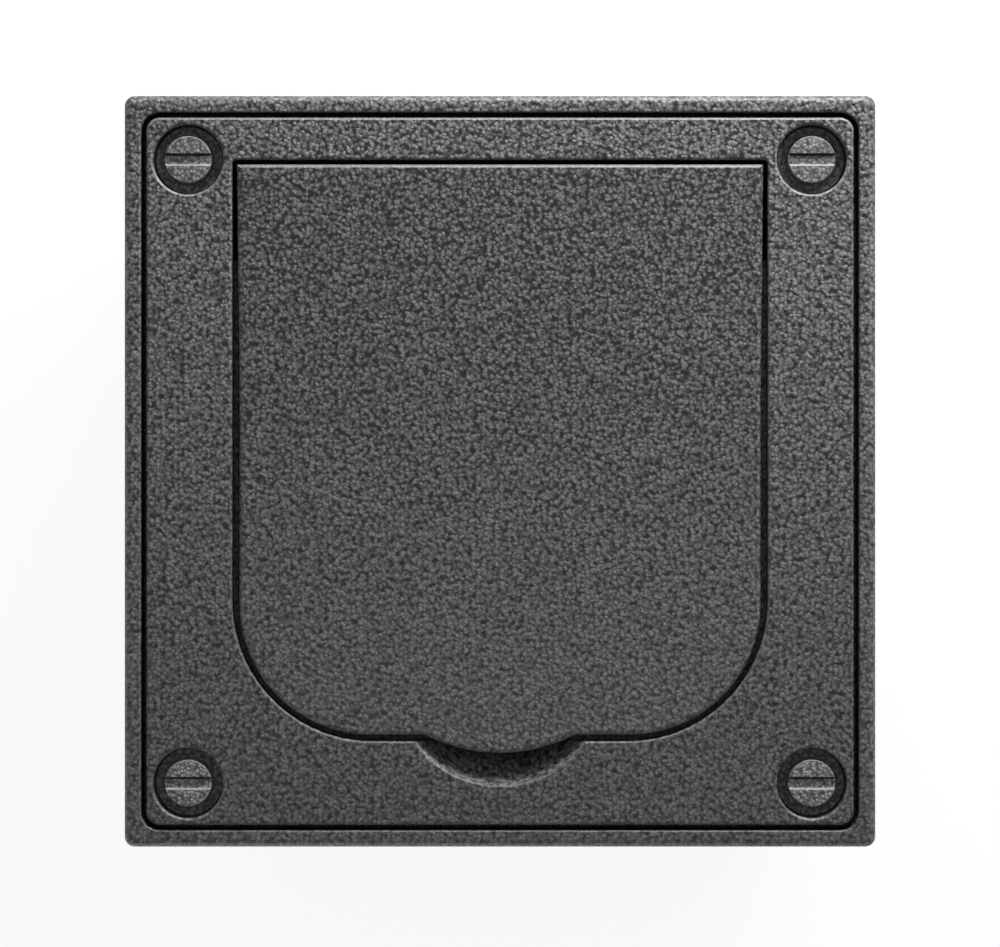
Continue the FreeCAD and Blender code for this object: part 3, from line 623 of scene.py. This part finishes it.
# soft rings: the section goes from the bore to the outside and from the bottom to the top, each 0 to 1,
# and each corner has a radius in mm
softRings = {
    "lidGasket": {
        "wall": 3.7,        # mm
        "section": [(0, 1, 0.1), (0, 0.5, 0.3), (0.12, 0.3, 0.2), (0.19, 0, 0.3), (0.35, 0, 0.3),
                    (0.42, 0.35, 0.2), (0.58, 0.35, 0.2), (0.65, 0, 0.3), (0.81, 0, 0.3),
                    (0.88, 0.3, 0.2), (1, 0.5, 0.3), (1, 1, 0.1)],
    },
    "deviceSeal": {
        "wall": 1.0,        # mm
        "section": [(0, 0, 0.1), (1, 0, 0.1), (1, 0.86, 0.2), (0.7, 1, 0.2), (0.5, 0.9, 0.1),
                    (0.3, 1, 0.2), (0, 0.86, 0.2)],
    },
    "washer": {
        "wall": 2.8,        # mm
        "section": [(0, 0, 0.1), (1, 0, 0.1), (1, 1, 0.25), (0.86, 0.96, 0.3), (0.74, 0.8, 0.3),
                    (0.6, 0.96, 0.3), (0.5, 1, 0.2), (0, 1, 0.1)],
    },
    "plugSeal": {
        "wall": 2.2,        # mm
        "section": [(0, 0, 0.3), (0.9, 0, 0.3), (1, 0.5, 0.5), (0.9, 1, 0.3), (0, 1, 0.3)],
    },
}


def ringSection(facts, outerRadius, thickness):
    inner = outerRadius - facts["wall"]
    corners = [(inner + out * facts["wall"], up * thickness, radius) for out, up, radius in facts["section"]]
    return roundOutline(corners)


# a ring round the middle of the box
def makeUprightRing(name, body, node):
    low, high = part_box(node)
    mesh = bmesh.new()
    outline = ringSection(softRings[name], high.x / millimetre, (high.z - low.z) / millimetre)
    spinOutline(mesh, outline, Vector((0, 0, low.z)), ringSegments)
    finishPiece(name, mesh, "rubber", body, node)


# the four corner places, from the box round all four screws or washers
def cornerPlaces(low, high, radius):
    across = high.x - radius * millimetre
    along = high.y - radius * millimetre
    signs = ((1, 1), (-1, 1), (-1, -1), (1, -1))
    return [Vector((right * across, back * along, low.z)) for right, back in signs]


washerRadius = 4.95  # mm


def makeScrewWashers():
    low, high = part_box("cover_screw_washers")
    mesh = bmesh.new()
    outline = ringSection(softRings["washer"], washerRadius, (high.z - low.z) / millimetre)
    for place in cornerPlaces(low, high, washerRadius):
        spinOutline(mesh, outline, place, ringSegments // 2)
    finishPiece("coverScrewWashers", mesh, "dustyRubber", "box", "cover_screw_washers")


plugSealThickness = 1.0  # mm


def makePlugSeals():
    low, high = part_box("plug_seals")
    middle = (low + high) / 2
    mesh = bmesh.new()
    outline = ringSection(softRings["plugSeal"], (high.y - low.y) / 2 / millimetre, plugSealThickness)
    for side in (-1, 1):
        single = bmesh.new()
        spinOutline(single, outline, Vector((0, 0, high.x - plugSealThickness * millimetre)), ringSegments)
        single.transform(Matrix.Translation((0, 0, middle.z)) @ Matrix.Rotation(side * math.pi / 2, 4, "Y"))
        data = asData("plugSeal", single)
        mesh.from_mesh(data)
        bpy.data.meshes.remove(data)
    finishPiece("plugSeals", mesh, "rubber", "box", "plug_seals")


makeUprightRing("lidGasket", "lid", "lid_gasket")
makeUprightRing("deviceSeal", "box", "device_seal")
makeScrewWashers()
makePlugSeals()
print("seals and washers made")


# the slot of a new screw, across and down in mm
straightSlot = [(-0.38, 0), (-0.3, 0.08), (-0.3, 0.8), (0.3, 0.8), (0.3, 0.08), (0.38, 0)]
# slotted screws with cut threads, in mm; a head is as wide as headRadius at its seat and as headTop above
coverScrew = {
    "node": "cover_screws", "finish": "phosphated", "recordSlot": "screw_steel",
    "headRadius": 3.65, "headTop": 3.4, "headHeight": 2.6,
    "headRound": (0.1, 0.15),  # in and down at the top edge
    # one shoulder of the slot is rubbed to a slope, and a groove is worn along the other
    "slot": [(-0.96, 0), (-0.6, 0.5), (0.52, 0.5), (0.76, 1.05), (0.96, 0)],
    "threadRadius": 1.95, "threadDepth": 0.38, "threadPitch": 0.7,
}
deviceScrew = {
    "node": "device_screws", "finish": "zinc", "recordSlot": "zinc_steel",
    "headRadius": 2.9, "headTop": 2.9, "headHeight": 1.8, "headRound": (0.35, 0.35),
    "slot": straightSlot,
    "threadRadius": 1.5, "threadDepth": 0.28, "threadPitch": 0.5,
}
# countersunk, with the rounded slot that a saw leaves
centreScrew = {
    "node": "centre_screw", "finish": "zinc", "recordSlot": "zinc_steel",
    "headRadius": 1.5, "headTop": 2.8, "headHeight": 1.3, "headRound": (0.08, 0.08),
    "slot": [(-0.46, 0), (-0.38, 0.08), (-0.34, 0.55), (0, 0.9), (0.34, 0.55), (0.38, 0.08), (0.46, 0)],
    "threadRadius": 1.5, "threadDepth": 0.28, "threadPitch": 0.5,
}
earthScrew = {
    "node": "earth_screw", "finish": "brass", "recordSlot": "brass",
    "headRadius": 3.6, "headTop": 3.6, "headHeight": 2.4, "headRound": (0.35, 0.5),
    "slot": straightSlot,
    "threadRadius": 1.95, "threadDepth": 0.38, "threadPitch": 0.7,
}
screwSegments = 64
headArcSteps = 8
threadRows = 7  # to a pitch


# the cutter's cross-section as (across, height) in mm, open above the head
def slotOutline(facts):
    height = facts["headHeight"]
    cut = [(across, height - down) for across, down in facts["slot"]]
    return cut + [(cut[-1][0], 2 * height), (cut[0][0], 2 * height)]


# head with its slot cut, standing on height 0
def makeScrewHead(facts):
    roundIn, roundDown = facts["headRound"]
    radius, height = facts["headRadius"], facts["headHeight"]
    angles = [math.pi / 2 * i / headArcSteps for i in range(headArcSteps + 1)]
    arc = [(facts["headTop"] - roundIn * (1 - math.cos(angle)), height - roundDown * (1 - math.sin(angle)))
           for angle in angles]
    head = bmesh.new()
    spinOutline(head, [(0, 0), (radius, 0)] + arc + [(0, height)], Vector(), screwSegments, closed=False)
    bmesh.ops.recalc_face_normals(head, faces=head.faces)
    slot = bmesh.new()
    outline = slotOutline(facts)
    ends = [[slot.verts.new(Vector((side * 2 * radius, across, up)) * millimetre) for across, up in outline]
            for side in (-1, 1)]
    for end in ends:
        slot.faces.new(end)
    for i in range(len(ends[0])):
        slot.faces.new([ends[0][i - 1], ends[0][i], ends[1][i], ends[1][i - 1]])
    bmesh.ops.recalc_face_normals(slot, faces=slot.faces)
    holders = [addObject(name, asData(name, mesh)) for name, mesh in (("head", head), ("slot", slot))]
    cut = holders[0].modifiers.new("slot", "BOOLEAN")
    cut.object = holders[1]
    cut.solver = "EXACT"
    evaluated = holders[0].evaluated_get(bpy.context.evaluated_depsgraph_get())
    cutHead = bpy.data.meshes.new_from_object(evaluated)
    for holder in holders:
        bpy.data.meshes.remove(holder.data)
    return cutHead


# threaded shank down from height 0, running out smooth at both ends
def addShank(mesh, facts, length):
    outer, depth, pitch = facts["threadRadius"], facts["threadDepth"], facts["threadPitch"]
    rows = round(length / pitch * threadRows)
    rings = []
    for row in range(rows + 1):
        below = length * row / rows
        share = min(1.0, below / pitch, (length - below) / pitch)
        ring = []
        for turn in anglesRound(screwSegments):
            crest = 0.5 + 0.5 * math.cos(2 * math.pi * below / pitch + turn)
            radius = (outer - depth + depth * crest * share) * millimetre
            spoke = (radius * math.cos(turn), radius * math.sin(turn), -below * millimetre)
            ring.append(mesh.verts.new(spoke))
        rings.append(ring)
    closeTube(mesh, rings)


def makeScrews(name, facts, places, length):
    single = bmesh.new()
    head = makeScrewHead(facts)
    single.from_mesh(head)
    bpy.data.meshes.remove(head)
    addShank(single, facts, length)
    data = asData(name, single)
    mesh = bmesh.new()
    for place in places:
        first = len(mesh.verts)
        mesh.from_mesh(data)
        mesh.verts.ensure_lookup_table()
        bmesh.ops.translate(mesh, verts=mesh.verts[first:], vec=place)
    bpy.data.meshes.remove(data)
    finishPiece(name, mesh, facts["finish"], "box", facts["node"])


# the seats and lengths follow from each node's box: the head stands on top of the shank
def screwRun(facts):
    low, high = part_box(facts["node"])
    seat = high.z - facts["headHeight"] * millimetre
    return low, high, seat, (seat - low.z) / millimetre


low, high, seat, length = screwRun(coverScrew)
corners = cornerPlaces(low, high, coverScrew["headRadius"])
makeScrews("coverScrews", coverScrew, [Vector((spot.x, spot.y, seat)) for spot in corners], length)
low, high, seat, length = screwRun(deviceScrew)
apart = high.x - deviceScrew["headRadius"] * millimetre
makeScrews("deviceScrews", deviceScrew, [Vector((side * apart, 0, seat)) for side in (-1, 1)], length)
for name, facts in (("centreScrew", centreScrew), ("earthScrew", earthScrew)):
    low, high, seat, length = screwRun(facts)
    middle = (low + high) / 2
    makeScrews(name, facts, [Vector((middle.x, middle.y, seat))], length)
print("screws made")


# torsion springs on the pin, in mm: one leg on the stop rib, the coil, and one leg under the lid
hingeSpring = {
    "wireRadius": 0.25,
    "coilRadius": 1.65,
    "pitch": 0.9,
    "turns": 3,
    "outerEnd": 23.35,      # from the middle of the pin
    "stopForward": 4.137,   # from the pin to the tip on the rib
    "stopDown": 6.5,
    "lidLeg": 5.5,
    "wireSides": 14,
    "stepsPerTurn": 40,
}


# the wire's middle line, as (forward, up, inward) in mm from the pin at the coil's outer end
def springLine(facts):
    radius = facts["coilRadius"]
    reach = math.hypot(facts["stopForward"], facts["stopDown"])
    first = math.acos(radius / reach) - math.atan2(facts["stopDown"], facts["stopForward"])
    last = math.pi / 2 + 2 * math.pi * facts["turns"]
    rise = facts["pitch"] / (2 * math.pi)
    steps = round((last - first) / (2 * math.pi) * facts["stepsPerTurn"])
    line = []
    ways = []
    for step in range(steps + 1):
        turn = first + (last - first) * step / steps
        line.append(Vector((radius * math.cos(turn), radius * math.sin(turn), rise * (turn - first))))
        ways.append(Vector((-math.sin(turn), math.cos(turn), rise / radius)).normalized())
    stopLength = math.sqrt(reach ** 2 - radius ** 2)
    line.insert(0, line[0] - ways[0] * stopLength)
    line.append(line[-1] + ways[-1] * facts["lidLeg"])
    return line, [ways[0]] + ways + [ways[-1]]


def makeHingeSpring(name, side, node):
    facts = hingeSpring
    line, ways = springLine(facts)
    mesh = bmesh.new()
    across = ways[0].orthogonal().normalized()
    rings = []
    for point, way in zip(line, ways):
        across = (across - way * across.dot(way)).normalized()
        upright = way.cross(across)
        ring = []
        for turn in anglesRound(facts["wireSides"]):
            spot = point + (across * math.cos(turn) + upright * math.sin(turn)) * facts["wireRadius"]
            place = Vector((side * (facts["outerEnd"] - spot.z), -spot.x, spot.y)) * millimetre
            ring.append(mesh.verts.new(place + hingePlace))
        rings.append(ring)
    closeTube(mesh, rings)
    piece = finishPiece(name, mesh, "wire", None, node)
    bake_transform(piece)


makeHingeSpring("hingeSpringRight", 1, "hinge_spring_right")
makeHingeSpring("hingeSpringLeft", -1, "hinge_spring_left")
print("springs made")


# camera straight above the face, as the photo was taken
camera = {
    "focal": 150.0,          # mm
    "sensor": 36.0,          # mm across
    "fieldWidth": 146.28,    # mm across the picture at the face
    "shiftDown": 0.32,       # mm that the middle of the picture lies below the object's
}


def makeCamera():
    data = bpy.data.cameras.new("faceCamera")
    data.lens = camera["focal"]
    data.sensor_width = camera["sensor"]
    holder = addObject("faceCamera", data)
    distance = camera["fieldWidth"] * millimetre * data.lens / data.sensor_width
    holder.location = (0, -camera["shiftDown"] * millimetre, faceHeight + distance)
    bpy.context.scene.camera = holder


# a low strip beyond the hinge side rakes the face and draws the paint's relief
# a lower one in front lights only walls; places and sizes in metres, power in watts
lamps = {
    "key": {"place": (0.09, 0.215, 0.145), "size": (0.26, 0.07), "power": 1.15},
    "front": {"place": (-0.12, -0.42, 0.034), "size": (0.3, 0.05), "power": 0.42},
}


def makeLamp(name, facts):
    data = bpy.data.lights.new(name, "AREA")
    data.shape = "RECTANGLE"
    data.size, data.size_y = facts["size"]
    data.energy = facts["power"]
    lamp = addObject(name, data)
    lamp.location = facts["place"]
    lamp.visible_camera = False
    aim = Vector((0, 0, faceHeight)) - lamp.location
    lamp.rotation_euler = aim.to_track_quat("-Z", "Y").to_euler()


surround = {
    "fill": 0.42,           # strength of the light from all round
    "hingeSide": 1.6,       # share of the fill from either side
    "tabSide": 0.4,
    "white": 1.0,
    "whiteUpTo": 0.4,       # upright share of the direction, up to which the background is white
    "ceilingFrom": 0.8,
}


# 1 for rays from the eye, for reflections and for what is seen through glass
def seenRays(tree):
    path = addNode(tree, "ShaderNodeLightPath").outputs
    seen = path["Is Camera Ray"]
    for kind in ("Is Glossy Ray", "Is Transmission Ray"):
        seen = compute(tree, "MAXIMUM", seen, path[kind])
    return seen


# a white background below a dimmer ceiling,
# and a softer fill for the object that comes more from the hinge side
def makeSurround():
    world = bpy.data.worlds.new("studio")
    world.use_nodes = True
    bpy.context.scene.world = world
    tree = world.node_tree
    way = splitAxes(tree, addNode(tree, "ShaderNodeTexCoord").outputs["Generated"])
    fill = mapRange(tree, way["Y"], (-1.0, 1.0),
                    (surround["fill"] * surround["tabSide"], surround["fill"] * surround["hingeSide"]))
    ceiling = mapRange(tree, way["Z"], (surround["whiteUpTo"], surround["ceilingFrom"]), soft=True)
    backdrop = mixValues(tree, ceiling, surround["white"], fill)
    strength = mixValues(tree, seenRays(tree), fill, backdrop)
    background = tree.nodes["Background"]
    background.inputs["Color"].default_value = linear("#ffffff")
    tree.links.new(strength, background.inputs["Strength"])


floorFacts = {
    "halfWidth": 3.0,       # metres
    "colour": "#e6e6e6",    # as it lights the object
    "glow": 0.9,            # as it is seen
    "catch": "#616161",     # added to the glow, and takes the shadow
}


# white floor that still takes the object's shadow
def makeFloor():
    mesh = bpy.data.meshes.new("floor")
    half = floorFacts["halfWidth"]
    corners = [(-half, -half, 0), (half, -half, 0), (half, half, 0), (-half, half, 0)]
    mesh.from_pydata(corners, [], [(0, 1, 2, 3)])
    floor = addObject("floor", mesh)
    material = bpy.data.materials.new("paleFloor")
    material.use_nodes = True
    tree = material.node_tree
    tree.nodes.remove(tree.nodes["Principled BSDF"])
    matt = addNode(tree, "ShaderNodeBsdfDiffuse", {"Color": linear(floorFacts["colour"])})
    faint = addNode(tree, "ShaderNodeBsdfDiffuse", {"Color": linear(floorFacts["catch"])})
    glow = addNode(tree, "ShaderNodeEmission", {"Color": linear("#ffffff"), "Strength": floorFacts["glow"]})
    both = addNode(tree, "ShaderNodeAddShader", {0: faint.outputs[0], 1: glow.outputs[0]})
    mix = addNode(tree, "ShaderNodeMixShader", {0: seenRays(tree), 1: matt.outputs[0], 2: both.outputs[0]})
    tree.links.new(mix.outputs[0], tree.nodes["Material Output"].inputs["Surface"])
    mesh.materials.append(material)
    floor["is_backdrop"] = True


makeCamera()
for lampName, lampFacts in lamps.items():
    makeLamp(lampName, lampFacts)
makeSurround()
makeFloor()
bpy.context.scene.view_settings.view_transform = "Standard"
print("camera, light and floor set")

low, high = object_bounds()
